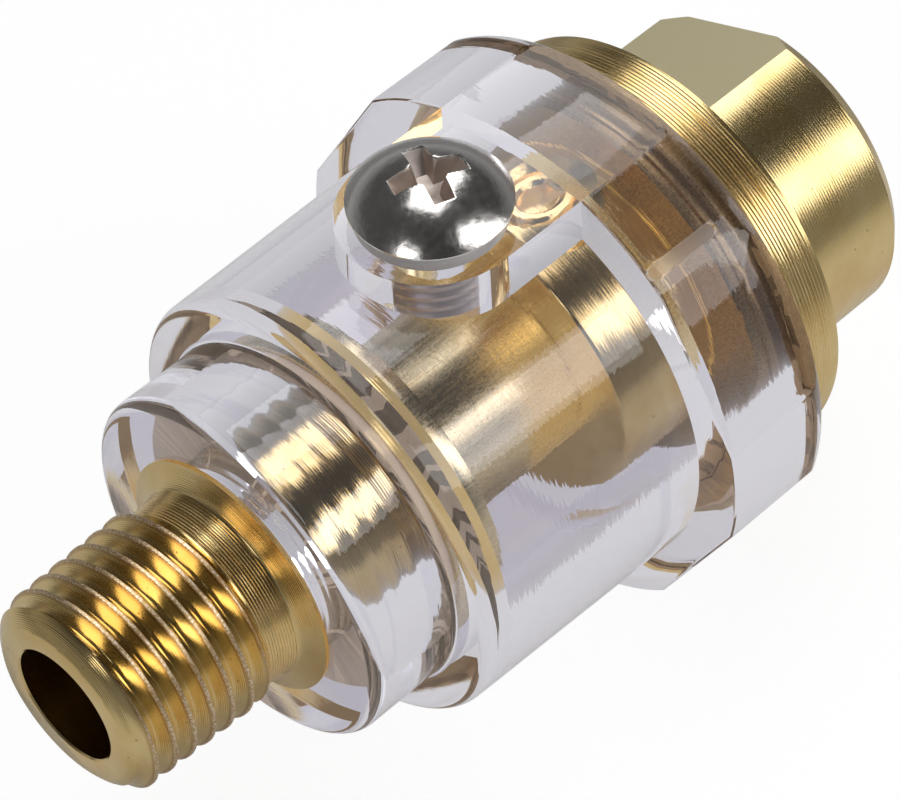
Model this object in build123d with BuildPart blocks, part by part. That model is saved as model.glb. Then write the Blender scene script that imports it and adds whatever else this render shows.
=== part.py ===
# Mini in-line air line lubricator: a clear oil bowl round a brass air tube,
# with a threaded outlet nipple at one end and a threaded inlet socket at the other.
# It is drawn along X, from the outlet's end face at 0 to the inlet's end face, with the
# line's axis at the origin and +Z through the filler screw. Each finished piece is then
# moved so that the part lies on the collar's bottom flat, with the origin below its middle.
# Millimetres throughout.

import os
from math import isclose, sqrt

from build123d import *

os.makedirs("parts", exist_ok=True)

# Clearances
running_gap = 0.05          # radial gap round a screw thread or a pin that turns
fit_gap = 0.03              # radial gap round a part that is only located

# Pipe thread of both ends, as plain cylinders: the turns themselves are surface detail
thread_major_r = 13.157 / 2
thread_minor_r = 11.445 / 2

# Outlet nipple
outlet_bore_r = 3.75
outlet_face_r = 5.45
outlet_chamfer = 1.1
outlet_thread_length = 10.0
neck_r = 5.9
neck_length = 1.2
flare_r = 7.9
flare_length = 1.5
flare_rim = 0.3

# Oil bowl: nose, body and hexagonal collar
nose_r = 11.65
nose_length = 6.2
nose_round = 0.8
body_front_r = 14.3
body_rear_r = 14.6
body_length = 17.2
body_round = 0.8
front_wall = 2.8
bowl_bore_r = 11.7
collar_across_flats = 33.2
collar_flat_width = 11.08   # between the turned corners, and the tongue is as wide
collar_length = 8.5
collar_rear_round = 1.1
collar_bore_r = 12.9
collar_bore_depth = 6.6
bore_step_chamfer = 0.6

# Filler boss, which carries the collar's top flat forward as a tongue
filler_to_collar = 6.4      # from the screw's axis to the collar's front face
tongue_round = 0.3
tongue_root_depth = 4.2

# Filler screw and its seal
filler_thread_r = 2.5
filler_pitch = 0.8
filler_shank_length = 6.0
filler_head_r = 4.75
filler_head_rim = 0.55
filler_head_height = 3.6
seal_thickness = 1.1
seal_r = 4.1
recess_span = 4.9
recess_width = 1.35
recess_floor_span = 2.4
recess_floor_width = 0.8
recess_depth = 2.0

# Air tube with its front flange
tube_r = 4.75
tube_bore_r = 3.0
tube_flange_r = 10.2
tube_flange_thickness = 1.2
front_spigot_r = 4.7
front_spigot_length = 7.6
rear_spigot_r = 4.2
rear_spigot_length = 1.9
spigot_shoulder_gap = 0.3
front_gasket_thickness = 0.5
front_gasket_r = 9.9
ring_groove_r = 3.8
ring_groove_width = 1.3
ring_groove_from_end = 1.2

# Inlet body: boss, centring plug, grooved flange and inlet socket
boss_r = 8.5
boss_lead = 1.5             # from the boss's front face to the collar's
boss_length = 8.3
boss_round = 0.25
plug_length = 2.3
flange_r = 14.4
flange_thickness = 3.4
rear_gasket_thickness = 0.6
rear_gasket_r = 14.2
socket_r = 10.75
socket_length = 10.1
socket_rear_chamfer = 0.9
inlet_thread_depth = 12.0
inlet_mouth_chamfer = 0.9
drill_cone_length = 1.6
throat_r = 2.0
throat_taper = 1.0
flats_across = 19.8
flats_length = 8.4
flats_turn = 13.5           # degrees that the wrench flats are turned from the filler screw

# Metering screw across the boss, its ring and the wick that it shuts off
metering_from_boss_face = 4.0
metering_travel = 0.8       # each way from rest: one turn
metering_thread_r = 2.5
metering_thread_top = 7.7
metering_thread_length = 1.7
metering_stem_r = 1.9
metering_stem_length = 1.55
metering_mouth_r = 3.4
hex_across_flats = 2.5
hex_depth = 1.4
needle_r = 0.8
needle_tip_r = 0.3
needle_tip_length = 1.0
needle_end = -2.5
ring_bore_floor = 2.55
metering_ring_section_r = 0.5
metering_ring_gap = 0.05
lower_port_length = 1.6
wick_r = 1.05
wick_to_port = 0.1
wick_to_wall = 0.4
bleed_r = 0.5
bleed_from_plug = 0.9

# Stations along the line, worked out from the lengths above
neck_x = outlet_thread_length
shoulder_x = neck_x + neck_length + flare_length + flare_rim
body_x = shoulder_x + nose_length
cavity_x = shoulder_x + nose_length + front_wall
flange_disc_x = cavity_x + front_gasket_thickness
tube_x = flange_disc_x + tube_flange_thickness
collar_x = body_x + body_length
collar_rear_x = collar_x + collar_length
boss_x = collar_x - boss_lead
plug_x = boss_x + boss_length
inlet_flange_x = collar_rear_x + rear_gasket_thickness
socket_x = inlet_flange_x + flange_thickness
end_x = socket_x + socket_length
filler_x = collar_x - filler_to_collar
metering_x = boss_x + metering_from_boss_face
top_z = collar_across_flats / 2
flat_half_width = collar_flat_width / 2
collar_corner_r = sqrt(top_z**2 + flat_half_width**2)
metering_thread_base = metering_thread_top - metering_thread_length
metering_stem_base = metering_thread_base - metering_stem_length
metering_hole_floor = metering_thread_base - metering_travel - running_gap
ring_bore_r = metering_stem_r + running_gap
resting_place = Location((-end_x / 2, 0, top_z))


def turned_ring(plane, ring_r, section_r):
    """A rubber ring of round section, about the normal of its plane."""
    with BuildPart(plane) as piece:
        Torus(ring_r, section_r)
    return piece


def washer(plane, outer_r, inner_r, thickness):
    """A flat ring that lies on a plane and stands up from it by its thickness."""
    with BuildPart() as piece:
        with BuildSketch(plane):
            Circle(outer_r)
            Circle(inner_r, mode=Mode.SUBTRACT)
        extrude(amount=thickness)
    return piece


def save(piece, name):
    """Label a finished piece, set it in its place over the floor and write it to a file."""
    piece.part.label = name
    piece.part.move(resting_place)
    export_step(piece.part, f"parts/{name}.step")


# Outlet nipple: thread, undercut neck and flared shoulder, then a threaded spigot in the nose.
# Its bore is opened out at the inner end to take the air tube's front spigot.
spigot_end_x = cavity_x - spigot_shoulder_gap
tube_front_x = flange_disc_x - front_spigot_length
tube_seat_x = tube_front_x - spigot_shoulder_gap
socket_wall_r = front_spigot_r + fit_gap
with BuildPart() as outlet_nipple:
    with BuildSketch(Plane.XZ):
        with BuildLine():
            Polyline(
                (neck_x + neck_length, neck_r),
                (neck_x, neck_r),
                (neck_x - (thread_major_r - neck_r), thread_major_r),
                (outlet_chamfer, thread_major_r),
                (0, outlet_face_r),
                (0, outlet_bore_r),
                (tube_seat_x, outlet_bore_r),
                (tube_seat_x, socket_wall_r),
                (spigot_end_x, socket_wall_r),
                (spigot_end_x, thread_major_r),
                (shoulder_x, thread_major_r),
                (shoulder_x, flare_r),
                (shoulder_x - flare_rim, flare_r),
            )
            TangentArc(
                (neck_x + neck_length, neck_r),
                (shoulder_x - flare_rim, flare_r),
                tangent=(1, 0),
            )
        make_face()
    revolve(axis=Axis.X)
save(outlet_nipple, "outlet_nipple")

# Oil bowl: one clear moulding with its nose, body, collar and filler boss
bore_step_x = collar_rear_x - collar_bore_depth
with BuildPart() as oil_bowl:
    with BuildSketch(Plane.XZ):
        with BuildLine():
            Polyline(
                (shoulder_x, 0),
                (shoulder_x, nose_r),
                (body_x, nose_r),
                (body_x, body_front_r),
                (collar_x, body_rear_r),
                (bore_step_x, body_rear_r),
                (bore_step_x, 0),
                close=True,
            )
        make_face()
    revolve(axis=Axis.X)
    turned_edges = edges().filter_by(GeomType.CIRCLE)
    fillet(turned_edges.group_by(Axis.X)[0], nose_round)
    body_rim = turned_edges.filter_by(lambda e: isclose(e.radius, body_front_r, abs_tol=0.01))
    fillet(body_rim, body_round)
    with BuildSketch(Plane.YZ.offset(collar_x)):
        RegularPolygon(top_z, 6, major_radius=False)
        Circle(collar_corner_r, mode=Mode.INTERSECT)
    extrude(amount=collar_length)
    fillet(faces().sort_by(Axis.X)[-1].outer_wire().edges(), collar_rear_round)
    with BuildSketch(Plane.XY.offset(top_z)):
        with Locations((filler_x, 0)):
            Circle(flat_half_width)
            Rectangle(filler_to_collar, 2 * flat_half_width, align=(Align.MIN, Align.CENTER))
    extrude(amount=-tongue_root_depth)
    top_edges = edges().group_by(Axis.Z)[-1]
    tongue_rim = top_edges.filter_by(lambda e: e.center().X < collar_x - tongue_round)
    fillet(tongue_rim, tongue_round)
    with BuildSketch(Plane.XZ):
        with BuildLine():
            Polyline(
                (shoulder_x, 0),
                (shoulder_x, thread_major_r + running_gap),
                (cavity_x, thread_major_r + running_gap),
                (cavity_x, bowl_bore_r),
                (bore_step_x, bowl_bore_r),
                (bore_step_x + bore_step_chamfer, collar_bore_r),
                (collar_rear_x, collar_bore_r),
                (collar_rear_x, 0),
                close=True,
            )
        make_face()
    revolve(axis=Axis.X, mode=Mode.SUBTRACT)
    with Locations((filler_x, 0, top_z)):
        Hole(filler_thread_r + running_gap, depth=top_z - bowl_bore_r / 2)
save(oil_bowl, "oil_bowl")

# Air tube: front spigot with a ring groove, round flange, tube and rear spigot
groove_x = tube_front_x + ring_groove_from_end
with BuildPart() as air_tube:
    with BuildSketch(Plane.XZ):
        with BuildLine():
            Polyline(
                (tube_front_x, tube_bore_r),
                (tube_front_x, front_spigot_r),
                (groove_x, front_spigot_r),
                (groove_x, ring_groove_r),
                (groove_x + ring_groove_width, ring_groove_r),
                (groove_x + ring_groove_width, front_spigot_r),
                (flange_disc_x, front_spigot_r),
                (flange_disc_x, tube_flange_r),
                (tube_x, tube_flange_r),
                (tube_x, tube_r),
                (boss_x, tube_r),
                (boss_x, rear_spigot_r),
                (boss_x + rear_spigot_length, rear_spigot_r),
                (boss_x + rear_spigot_length, tube_bore_r),
                close=True,
            )
        make_face()
    revolve(axis=Axis.X)
save(air_tube, "air_tube")

# Seals along the air line
ring_section_r = (socket_wall_r - ring_groove_r) / 2 - fit_gap / 2
spigot_ring = turned_ring(
    Plane.YZ.offset(groove_x + ring_groove_width / 2),
    ring_groove_r + fit_gap / 2 + ring_section_r,
    ring_section_r,
)
save(spigot_ring, "spigot_o_ring")
front_gasket = washer(
    Plane.YZ.offset(cavity_x), front_gasket_r, front_spigot_r + fit_gap, front_gasket_thickness
)
save(front_gasket, "front_gasket")
rear_gasket = washer(
    Plane.YZ.offset(collar_rear_x), rear_gasket_r, collar_bore_r, rear_gasket_thickness
)
save(rear_gasket, "rear_gasket")

# Inlet body: boss, plug, flange and threaded socket, turned from one bar.
# The bore narrows to a throat where the metering screw's needle crosses it.
spigot_seat_x = boss_x + rear_spigot_length
throat_end_x = metering_x + ring_bore_r + throat_taper
inlet_floor_x = end_x - inlet_thread_depth
with BuildPart() as inlet_body:
    with BuildSketch(Plane.XZ):
        with BuildLine():
            Polyline(
                (boss_x, rear_spigot_r + fit_gap),
                (boss_x, boss_r),
                (plug_x, boss_r),
                (plug_x, collar_bore_r - fit_gap),
                (inlet_flange_x, collar_bore_r - fit_gap),
                (inlet_flange_x, flange_r),
                (socket_x, flange_r),
                (socket_x, socket_r),
                (end_x - socket_rear_chamfer, socket_r),
                (end_x, socket_r - socket_rear_chamfer),
                (end_x, thread_minor_r + inlet_mouth_chamfer),
                (end_x - inlet_mouth_chamfer, thread_minor_r),
                (inlet_floor_x, thread_minor_r),
                (inlet_floor_x - drill_cone_length, tube_bore_r),
                (throat_end_x + throat_taper, tube_bore_r),
                (throat_end_x, throat_r),
                (spigot_seat_x, throat_r),
                (spigot_seat_x, rear_spigot_r + fit_gap),
                close=True,
            )
        make_face()
    revolve(axis=Axis.X)
    round_edges = edges().filter_by(GeomType.CIRCLE)
    boss_rims = round_edges.filter_by(lambda e: isclose(e.radius, boss_r, abs_tol=0.01))
    fillet(boss_rims.sort_by(Axis.X)[0], boss_round)

    # Two wrench flats, turned a little from the filler screw
    with BuildSketch(Plane.YZ.offset(end_x)):
        flat_waste = socket_r - flats_across / 2
        with PolarLocations(flats_across / 2 + flat_waste, 2, start_angle=90 - flats_turn):
            Rectangle(2 * flat_waste, 2 * socket_r)
    extrude(amount=-flats_length, mode=Mode.SUBTRACT)

    # Cross hole for the metering screw, from its countersunk mouth down to the wick's hole
    with Locations((metering_x, 0, metering_hole_floor)):
        Cylinder(
            metering_thread_r + running_gap,
            boss_r,
            align=(Align.CENTER, Align.CENTER, Align.MIN),
            mode=Mode.SUBTRACT,
        )
    with Locations((metering_x, 0, boss_r)):
        Cone(
            metering_thread_r,
            metering_mouth_r,
            metering_mouth_r - metering_thread_r,
            align=(Align.CENTER, Align.CENTER, Align.MAX),
            mode=Mode.SUBTRACT,
        )
    with Locations((metering_x, 0, metering_hole_floor)):
        Hole(ring_bore_r, depth=metering_hole_floor - ring_bore_floor)
    with Locations((metering_x, 0, ring_bore_floor)):
        Hole(needle_r + running_gap, depth=ring_bore_floor + throat_r + lower_port_length)
    with Locations((metering_x, 0, -throat_r - lower_port_length)):
        Hole(wick_r + fit_gap, depth=boss_r)

    # Bleed hole that lets line pressure into the bowl
    with Locations((plug_x - bleed_from_plug, 0, 0)):
        Hole(bleed_r, depth=boss_r)
save(inlet_body, "inlet_body")

# Metering screw: hexagon socket, thread, a plain stem that bears on the ring, and a long needle
metering_plane = Plane((metering_x, 0, 0), x_dir=(1, 0, 0), z_dir=(0, -1, 0))
metering_axis = Axis((metering_x, 0, 0), (0, 0, 1))
with BuildPart() as metering_screw:
    with BuildSketch(metering_plane):
        with BuildLine():
            Polyline(
                (0, needle_end),
                (needle_tip_r, needle_end),
                (needle_r, needle_end + needle_tip_length),
                (needle_r, metering_stem_base),
                (metering_stem_r, metering_stem_base),
                (metering_stem_r, metering_thread_base),
                (metering_thread_r, metering_thread_base),
                (metering_thread_r, metering_thread_top),
                (0, metering_thread_top),
                close=True,
            )
        make_face()
    revolve(axis=metering_axis)
    with BuildSketch(Plane.XY.offset(metering_thread_top)):
        with Locations((metering_x, 0)):
            RegularPolygon(hex_across_flats / 2, 6, major_radius=False)
    extrude(amount=-hex_depth, mode=Mode.SUBTRACT)
save(metering_screw, "metering_screw")

metering_ring_z = metering_stem_base - metering_ring_gap - metering_ring_section_r
metering_ring = turned_ring(
    Plane((metering_x, 0, metering_ring_z)),
    needle_r + fit_gap / 2 + metering_ring_section_r,
    metering_ring_section_r,
)
save(metering_ring, "metering_o_ring")

# Felt wick that lifts oil from the bottom of the bowl to the needle's port
wick_top_z = -throat_r - lower_port_length - wick_to_port
with BuildPart() as wick:
    with BuildSketch(Plane.XY.offset(wick_top_z)):
        with Locations((metering_x, 0)):
            Circle(wick_r)
    extrude(amount=-(bowl_bore_r - wick_to_wall + wick_top_z))
save(wick, "oil_wick")

# Filler screw with a cross recess, on its sealing washer
filler_seal = washer(
    Plane((filler_x, 0, top_z)), seal_r, filler_thread_r + running_gap, seal_thickness
)
save(filler_seal, "filler_seal")

head_z = top_z + seal_thickness
crown_z = head_z + filler_head_height
filler_plane = Plane((filler_x, 0, head_z), x_dir=(1, 0, 0), z_dir=(0, -1, 0))
filler_axis = Axis((filler_x, 0, 0), (0, 0, 1))
with BuildPart() as filler_screw:
    with BuildSketch(filler_plane):
        with BuildLine():
            EllipticalCenterArc(
                (0, filler_head_rim),
                filler_head_r,
                filler_head_height - filler_head_rim,
                start_angle=0,
                arc_size=90,
            )
            Polyline(
                (0, filler_head_height),
                (0, -filler_shank_length),
                (filler_thread_r - filler_pitch / 2, -filler_shank_length),
                (filler_thread_r, -filler_shank_length + filler_pitch / 2),
                (filler_thread_r, 0),
                (filler_head_r - filler_head_rim / 2, 0),
                (filler_head_r, filler_head_rim / 2),
                (filler_head_r, filler_head_rim),
            )
        make_face()
    revolve(axis=filler_axis)
    for depth, span, width in (
        (0, recess_span, recess_width),
        (recess_depth, recess_floor_span, recess_floor_width),
    ):
        with BuildSketch(Plane.XY.offset(crown_z - depth)):
            with Locations((filler_x, 0)):
                Rectangle(span, width)
                Rectangle(width, span)
    loft(mode=Mode.SUBTRACT)
save(filler_screw, "filler_screw")
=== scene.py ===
# %% [markdown]
# # An air line lubricator
# A small in-line oiler for compressed air. A clear plastic bowl holds the oil, a brass tube carries
# the air through it, and both ends are brass with a pipe thread. The construction comes from the
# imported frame, and this lesson gives it its looks. Nearly every piece was turned on a lathe, so
# nearly every mesh here is an outline spun about a line, and the rest are cut by Boolean modifiers.

# %% Load the frame
from math import asin, ceil, cos, degrees, hypot, pi, radians, sin, sqrt, tau

import bmesh
import bpy
from mathutils import Matrix, Vector


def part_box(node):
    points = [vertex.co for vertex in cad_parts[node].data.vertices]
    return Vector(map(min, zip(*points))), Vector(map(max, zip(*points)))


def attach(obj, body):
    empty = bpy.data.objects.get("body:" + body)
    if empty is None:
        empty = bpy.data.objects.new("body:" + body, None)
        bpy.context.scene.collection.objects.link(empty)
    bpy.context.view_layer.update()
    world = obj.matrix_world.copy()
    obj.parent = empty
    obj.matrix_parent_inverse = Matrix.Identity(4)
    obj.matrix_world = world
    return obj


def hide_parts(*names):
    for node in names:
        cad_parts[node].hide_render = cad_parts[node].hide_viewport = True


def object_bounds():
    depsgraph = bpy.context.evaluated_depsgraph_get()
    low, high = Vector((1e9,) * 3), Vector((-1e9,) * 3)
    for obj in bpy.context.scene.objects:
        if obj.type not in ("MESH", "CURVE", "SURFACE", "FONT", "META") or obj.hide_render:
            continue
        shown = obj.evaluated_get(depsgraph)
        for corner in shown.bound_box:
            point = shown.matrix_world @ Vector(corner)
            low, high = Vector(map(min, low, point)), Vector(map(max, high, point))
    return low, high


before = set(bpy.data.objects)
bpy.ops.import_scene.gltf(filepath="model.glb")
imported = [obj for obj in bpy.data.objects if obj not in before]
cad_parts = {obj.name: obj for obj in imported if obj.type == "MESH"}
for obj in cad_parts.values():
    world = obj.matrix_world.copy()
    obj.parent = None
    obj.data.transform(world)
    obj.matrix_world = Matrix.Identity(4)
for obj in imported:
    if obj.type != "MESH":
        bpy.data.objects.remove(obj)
cad_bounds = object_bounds()
print("CAD model from", cad_bounds[0], "to", cad_bounds[1])

# %% [markdown]
# The pieces are drawn in millimetres, along X from the outlet's end face, with the air line's axis
# at the origin. One matrix then takes a finished mesh to the frame, in metres. Where that matrix
# puts the origin is read from the outlet nipple's box.

# %% Millimetres along the air line
MM = 0.001
nipple_low, nipple_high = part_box("outlet_nipple")
ORIGIN = Vector((nipple_low[0], 0, (nipple_low[2] + nipple_high[2]) / 2))
TO_FRAME = Matrix.Translation(ORIGIN) @ Matrix.Diagonal((MM, MM, MM, 1))


def reach(node, axis=0):
    """A node's two ends along an axis, in millimetres of the drawing."""
    low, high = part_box(node)
    return (low[axis] - ORIGIN[axis]) / MM, (high[axis] - ORIGIN[axis]) / MM


shoulder_x, collar_rear_x = reach("oil_bowl")
cavity_x, flange_disc_x = reach("front_gasket")
tube_front_x, tube_end_x = reach("air_tube")
boss_x, end_x = reach("inlet_body")
spigot_end_x = reach("outlet_nipple")[1]
top_z = -reach("oil_bowl", 2)[0]
filler_x = sum(reach("filler_seal")) / 2
metering_x = sum(reach("metering_screw")) / 2
print(f"bowl {shoulder_x:.2f} to {collar_rear_x:.2f}, inlet's end at {end_x:.2f} mm")

# %% [markdown]
# ## Helpers
# A turned piece starts as a chain of points in the XZ plane. `spin` sweeps the chain about the axis
# and its doubles are merged, which closes the seam and the poles. Afterwards the normals are
# recalculated, because a spin can leave the shape inside out.

# %% Turning
SPIN_STEPS = 192


def turned(outline, steps=SPIN_STEPS):
    """A solid turned about X from (x, radius) points. A chain that starts off the axis is closed."""
    bm = bmesh.new()
    verts = [bm.verts.new((x, 0, r)) for x, r in outline]
    ends = list(zip(verts, verts[1:]))
    if outline[0][1] > 0:
        ends.append((verts[-1], verts[0]))
    edges = [bm.edges.new(pair) for pair in ends]
    bmesh.ops.spin(
        bm, geom=verts + edges, cent=(0, 0, 0), axis=(1, 0, 0), angle=tau, steps=steps, use_merge=True
    )
    bmesh.ops.remove_doubles(bm, verts=bm.verts, dist=1e-4)
    bmesh.ops.recalc_face_normals(bm, faces=bm.faces)
    return bm


def arc(centre, radius, start, end, count):
    """Points of a round in an outline, between two angles in degrees, measured from +X towards +R."""
    x, r = centre
    angles = [radians(start + (end - start) * i / count) for i in range(count + 1)]
    return [(x + radius * cos(a), r + radius * sin(a)) for a in angles]


# %% [markdown]
# A thread is one pitch of its outline, spun with a step along the axis, so that the turn ends where
# the next one begins. Copies of that turn, a pitch apart, then make the rod, which is much quicker
# than one long spin. A spin adds up small errors, so the copies are merged over a wider gap than
# doubles are elsewhere, or a slit would stay open along the seam. The rod runs past both ends and is
# cut square there. A radius limit turns its ends down to a cone, as the chamfer on a real bar does.

# %% Threads
THREAD_STEPS = 120
THREAD_POINTS = 16
CREST_SHARE = 0.14
SEAM_MERGE = 0.002
VALLEY_POWER = 1.45


def threaded(
    start, end, root_r, crest_r, pitch, crest_x=0.0, limit=None, taper=0.0, steps=THREAD_STEPS
):
    """A closed rod with a right-hand thread about X. A crest crosses the XZ plane at crest_x."""
    bm = bmesh.new()
    verts = []
    first_x = start - (1.5 + ((start - crest_x) / pitch) % 1) * pitch
    for i in range(THREAD_POINTS + 1):
        share = i / THREAD_POINTS
        height = min(1, (1 - abs(2 * share - 1)) / (1 - CREST_SHARE)) ** VALLEY_POWER
        verts.append(bm.verts.new((first_x + share * pitch, 0, root_r + (crest_r - root_r) * height)))
    edges = [bm.edges.new(pair) for pair in zip(verts, verts[1:])]
    advance = (pitch / steps, 0, 0)
    bmesh.ops.spin(
        bm, geom=verts + edges, cent=(0, 0, 0), axis=(1, 0, 0), dvec=advance, angle=tau, steps=steps
    )
    one_turn = bm.verts[:] + bm.edges[:] + bm.faces[:]
    for turn in range(1, ceil((end - start) / pitch) + 3):
        copy = bmesh.ops.duplicate(bm, geom=one_turn)
        copied = [g for g in copy["geom"] if isinstance(g, bmesh.types.BMVert)]
        bmesh.ops.translate(bm, vec=(turn * pitch, 0, 0), verts=copied)
    bmesh.ops.remove_doubles(bm, verts=bm.verts, dist=SEAM_MERGE)
    for x, side in ((start, -1), (end, 1)):
        everything = bm.verts[:] + bm.edges[:] + bm.faces[:]
        bmesh.ops.bisect_plane(
            bm, geom=everything, plane_co=(x, 0, 0), plane_no=(side, 0, 0), clear_outer=True
        )
    for v in bm.verts:
        r = hypot(v.co.y, v.co.z)
        low, high = limit(v.co.x) if limit else (0, 99)
        scale = min(max(r + taper * (v.co.x - start), low), high) / r
        v.co.y *= scale
        v.co.z *= scale
    bmesh.ops.remove_doubles(bm, verts=bm.verts, dist=1e-4)
    bmesh.ops.holes_fill(bm, edges=[e for e in bm.edges if e.is_boundary], sides=0)
    bmesh.ops.recalc_face_normals(bm, faces=bm.faces)
    return bm


# %% [markdown]
# Boolean modifiers join the turned solids and cut their holes. The Manifold solver is fast and exact
# enough, as long as every solid is closed. The helpers pass bmeshes in and out, and keep no object.

# %% Joining and cutting


def in_scene(name, data):
    """A new object in the scene that holds data."""
    obj = bpy.data.objects.new(name, data)
    bpy.context.scene.collection.objects.link(obj)
    return obj


def as_object(bm, name):
    """A bmesh as an object in the scene."""
    mesh = bpy.data.meshes.new(name)
    bm.to_mesh(mesh)
    return in_scene(name, mesh)


def combined(base, *steps):
    """base with each (operation, bmesh) applied in turn, as a new bmesh."""
    target = as_object(base, "base")
    tools = []
    for operation, bm in steps:
        tool = as_object(bm, "tool")
        tools.append(tool)
        modifier = target.modifiers.new(operation, "BOOLEAN")
        modifier.operation = operation
        modifier.solver = "MANIFOLD"
        modifier.object = tool
    evaluated = target.evaluated_get(bpy.context.evaluated_depsgraph_get())
    result = bmesh.new()
    result.from_mesh(evaluated.to_mesh())
    evaluated.to_mesh_clear()
    for obj in (target, *tools):
        mesh = obj.data
        bpy.data.objects.remove(obj)
        bpy.data.meshes.remove(mesh)
    bmesh.ops.remove_doubles(result, verts=result.verts, dist=1e-4)
    return result


def moved(bm, matrix):
    """The bmesh itself, after a move or a turn."""
    bmesh.ops.transform(bm, matrix=matrix, verts=bm.verts)
    return bm


def upright(x, z=0.0):
    """Stands a solid that was turned about X on the Z axis, at x along the air line."""
    return Matrix.Translation((x, 0, z)) @ Matrix.Rotation(-pi / 2, 4, "Y")


def drawn_out(bm, vec):
    """The bmesh after its flat faces are drawn out along a vector into a solid."""
    extruded = bmesh.ops.extrude_face_region(bm, geom=bm.faces[:])
    verts = [g for g in extruded["geom"] if isinstance(g, bmesh.types.BMVert)]
    bmesh.ops.translate(bm, vec=vec, verts=verts)
    bmesh.ops.recalc_face_normals(bm, faces=bm.faces)
    return bm


def hexagon_bar(start, end, across):
    """A hexagonal bar along X. Two corners of the circle of six lie on Y, so a flat faces up."""
    bm = bmesh.new()
    bmesh.ops.create_circle(
        bm,
        cap_ends=True,
        segments=6,
        radius=across / sqrt(3),
        matrix=Matrix.Translation((start, 0, 0)) @ Matrix.Rotation(pi / 2, 4, "Y"),
    )
    return drawn_out(bm, (end - start, 0, 0))


def rounded(bm, amount, segments=2, sharper_than=35, pick=None):
    """Rounds the edges that are sharper than an angle, as handling and tumbling do."""
    sharp = []
    for e in bm.edges:
        if e.is_manifold and degrees(e.calc_face_angle(0)) > sharper_than:
            if pick is None or pick(e):
                sharp.append(e)
    bmesh.ops.bevel(
        bm, geom=sharp, offset=amount, segments=segments, profile=0.5, affect="EDGES", material=-1,
        clamp_overlap=True,
    )
    return bm


# %% [markdown]
# A finished piece goes to the frame, gets smooth shading with its sharp edges marked, takes its
# material, stands for its CAD node and rides on that node's body.

# %% Finishing a piece
SMOOTH_BELOW = 28


def finished(bm, name, node, body, material):
    """The piece as an object in the frame, in place of its CAD node."""
    for face in bm.faces:
        face.smooth = True
    for edge in bm.edges:
        edge.smooth = degrees(edge.calc_face_angle(0)) < SMOOTH_BELOW
    obj = as_object(moved(bm, TO_FRAME), name)
    bm.free()
    obj.data.materials.append(material)
    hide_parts(node)
    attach(obj, body)
    obj.data.calc_loop_triangles()
    print(f"{name}: {len(obj.data.loop_triangles)} triangles")
    return obj


# %% [markdown]
# ## Finishes
# All the metal patterns depend on where a point lies along the air line and how far it is from the
# axis, so a first group turns Object coordinates into those two numbers, in millimetres.

# %% Material helpers


def new_material(name):
    """An empty material with its node tree and its output."""
    material = bpy.data.materials.new(name)
    material.use_nodes = True
    material.node_tree.nodes.clear()
    output = material.node_tree.nodes.new("ShaderNodeOutputMaterial")
    return material, material.node_tree, output


def add(tree, kind, inputs=None, **settings):
    """A node with its settings. An input is a value, or the output socket that feeds it."""
    node = tree.nodes.new(kind)
    for key, value in settings.items():
        setattr(node, key, value)
    for key, value in (inputs or {}).items():
        if isinstance(value, bpy.types.NodeSocket):
            tree.links.new(value, node.inputs[key])
        else:
            node.inputs[key].default_value = value
    return node


def line_coordinates():
    """A group that gives a point's place in millimetres: along the air line, and from its axis."""
    group = bpy.data.node_groups.new("air line coordinates", "ShaderNodeTree")
    outputs = {"Place": "NodeSocketVector", "Along": "NodeSocketFloat", "Radius": "NodeSocketFloat"}
    for name, kind in outputs.items():
        group.interface.new_socket(name, in_out="OUTPUT", socket_type=kind)
    coords = add(group, "ShaderNodeTexCoord")
    shifted = add(
        group, "ShaderNodeVectorMath", {0: coords.outputs["Object"], 1: ORIGIN}, operation="SUBTRACT"
    )
    place = add(
        group, "ShaderNodeVectorMath", {0: shifted.outputs[0], "Scale": 1 / MM}, operation="SCALE"
    )
    split = add(group, "ShaderNodeSeparateXYZ", {0: place.outputs[0]})
    across = add(group, "ShaderNodeCombineXYZ", {"Y": split.outputs["Y"], "Z": split.outputs["Z"]})
    radius = add(group, "ShaderNodeVectorMath", {0: across.outputs[0]}, operation="LENGTH")
    out = group.nodes.new("NodeGroupOutput")
    group.links.new(place.outputs[0], out.inputs["Place"])
    group.links.new(split.outputs["X"], out.inputs["Along"])
    group.links.new(radius.outputs["Value"], out.inputs["Radius"])
    return group


LINE_COORDINATES = line_coordinates()


def coordinates(tree):
    """The group's outputs in a material."""
    return add(tree, "ShaderNodeGroup", node_tree=LINE_COORDINATES).outputs


def math(tree, operation, a, b=0.0):
    """The result of one Math node."""
    return add(tree, "ShaderNodeMath", {0: a, 1: b}, operation=operation).outputs[0]


# %% [markdown]
# Most finishes are built from the same few things: numbers that are compared or mapped to a range,
# noise and spots over a place in millimetres, bumps of a known height, and one shader at the end.

# %% Patterns and shaders


def near_value(tree, value, target, reach_by):
    """1 where value is no further from the target than reach_by, and 0 elsewhere."""
    inputs = {0: value, 1: target, 2: reach_by}
    return add(tree, "ShaderNodeMath", inputs, operation="COMPARE").outputs[0]


def along_direction(tree, place, direction):
    """How far a point lies from the air line, in one direction across it."""
    inputs = {0: place["Place"], 1: direction}
    return add(tree, "ShaderNodeVectorMath", inputs, operation="DOT_PRODUCT").outputs["Value"]


def ranged(tree, value, low, high, to_low=0.0, to_high=1.0):
    """value mapped from one range to another and held at its ends."""
    inputs = {"Value": value, "From Min": low, "From Max": high, "To Min": to_low, "To Max": to_high}
    return add(tree, "ShaderNodeMapRange", inputs).outputs["Result"]


def blended(tree, share, a, b):
    """One colour laid over another by a share."""
    inputs = {"Factor": share, "A": a, "B": b}
    return add(tree, "ShaderNodeMix", inputs, data_type="RGBA").outputs["Result"]


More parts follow.
